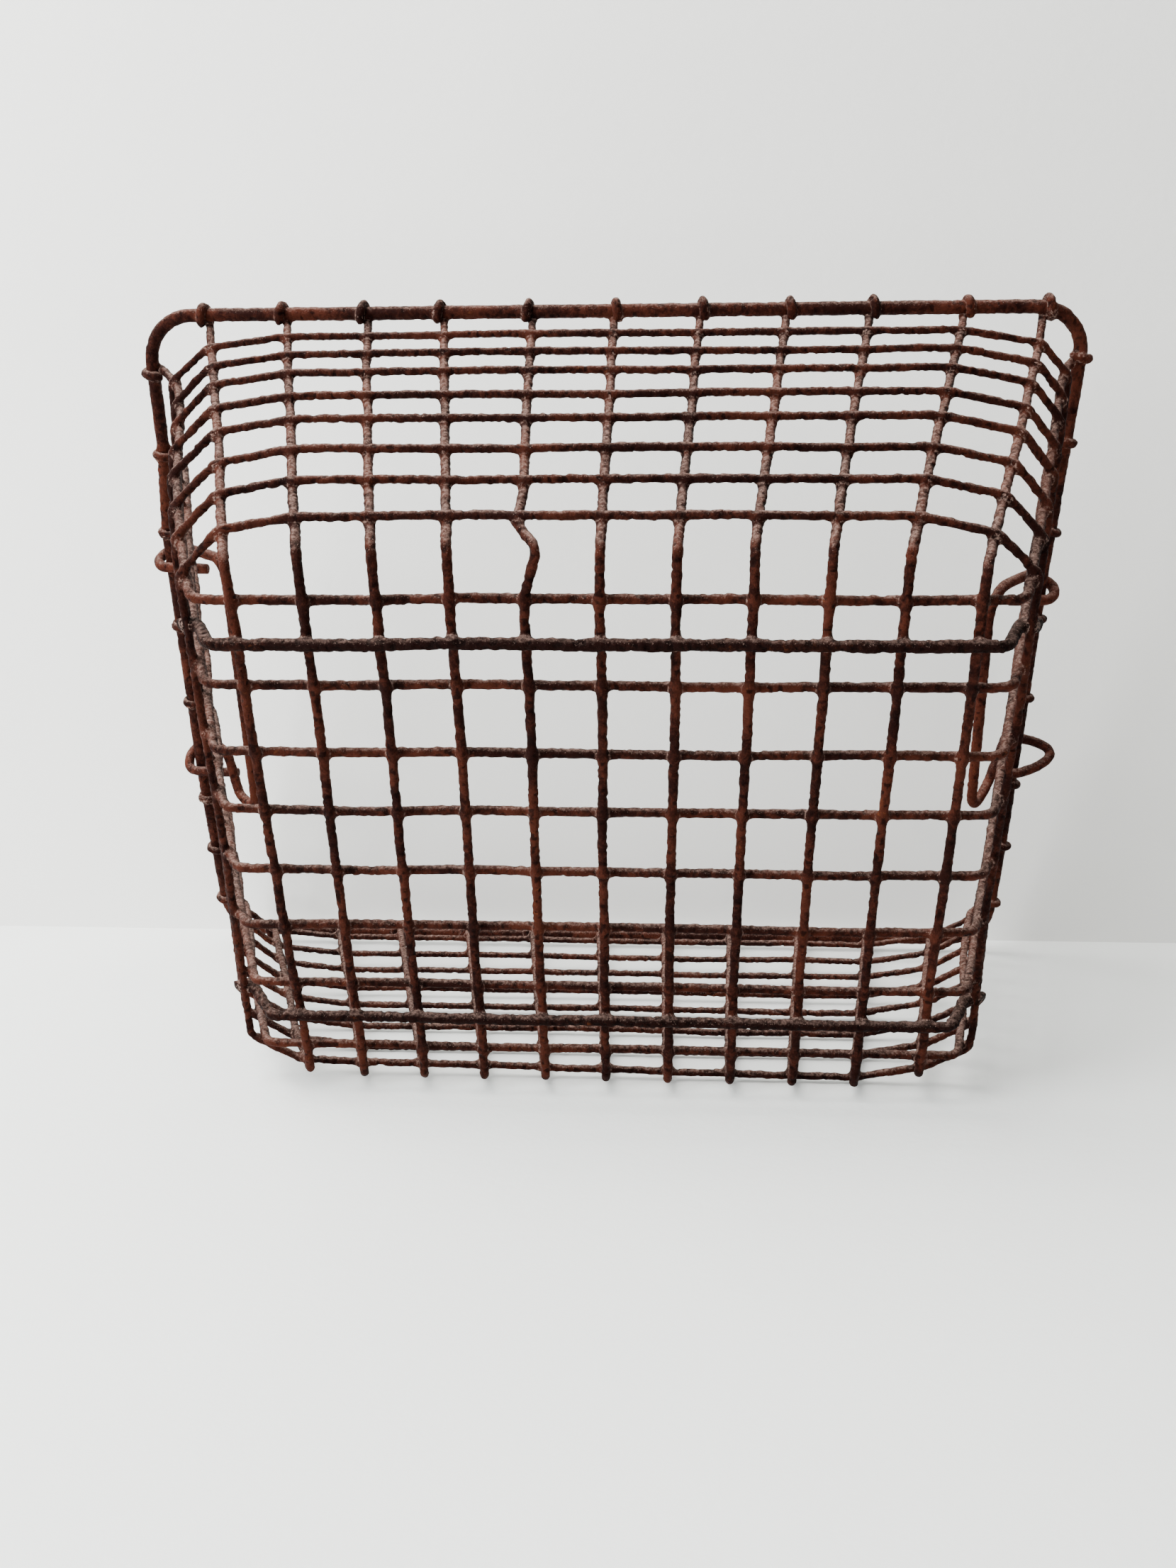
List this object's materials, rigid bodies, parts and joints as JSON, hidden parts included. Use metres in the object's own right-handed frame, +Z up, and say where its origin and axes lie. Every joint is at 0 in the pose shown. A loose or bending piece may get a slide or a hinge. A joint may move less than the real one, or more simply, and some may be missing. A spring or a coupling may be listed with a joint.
{
  "type": "wire carrying basket",
  "caption": "Rusted welded-wire basket with flared walls, a thick round rim and two drop handles, standing on one long side.",
  "frame": {"origin": "middle of the bounding box, on the ground plane the basket stands on", "axes": "+X along the basket's length, +Z up as it stands, the open rim towards +Y and the base towards -Y"},
  "size_m": [0.4462, 0.2542, 0.3256],
  "materials": {
    "rusty_wire": "rough red-brown rust with dark scale",
    "rusty_hoop": "rough red-brown rust, paler along the top",
    "rusty_rim": "pitted brown rust with grey-tan highlights",
    "dark_scale": "near-black flaky scale over rust",
    "rusty_handle": "smoother worn orange-brown rust"
  },
  "bodies": {
    "basket": {"base_runner_lower": "dark_scale", "base_runner_upper": "dark_scale", "cross_wire_1": "rusty_wire", "cross_wire_2": "rusty_wire", "cross_wire_3": "rusty_wire", "cross_wire_4": "rusty_wire", "cross_wire_5": "rusty_wire", "cross_wire_6": "rusty_wire", "cross_wire_7": "rusty_wire", "cross_wire_8": "rusty_wire", "long_wire_01": "rusty_wire", "long_wire_02": "rusty_wire", "long_wire_03": "rusty_wire", "long_wire_04": "rusty_wire", "long_wire_05": "rusty_wire", "long_wire_06": "rusty_wire", "long_wire_07": "rusty_wire", "long_wire_08": "rusty_wire", "long_wire_09": "rusty_wire", "long_wire_10": "rusty_wire", "long_wire_11": "rusty_wire", "rim_rod": "rusty_rim", "wall_hoop_1": "rusty_hoop", "wall_hoop_2": "rusty_hoop", "wall_hoop_3": "rusty_hoop", "wall_hoop_4": "rusty_hoop", "wall_hoop_5": "rusty_hoop", "wall_hoop_6": "rusty_hoop", "wall_hoop_7": "rusty_hoop", "wall_hoop_8": "rusty_hoop"},
    "left_handle": {"left_handle": "rusty_handle"},
    "right_handle": {"right_handle": "rusty_handle"}
  },
  "joints": [
    {"name": "left_handle_swing", "type": "hinge", "parent": "basket", "child": "left_handle", "pos_m": [-0.21263, 0.07405, 0.16318], "axis": [0.0345, -0.2855, 0.9578], "range_deg": [-5, 285]},
    {"name": "right_handle_swing", "type": "hinge", "parent": "basket", "child": "right_handle", "pos_m": [0.20155, 0.07405, 0.16318], "axis": [0.0093, 0.2857, -0.9583], "range_deg": [-4, 96]}
  ]
}
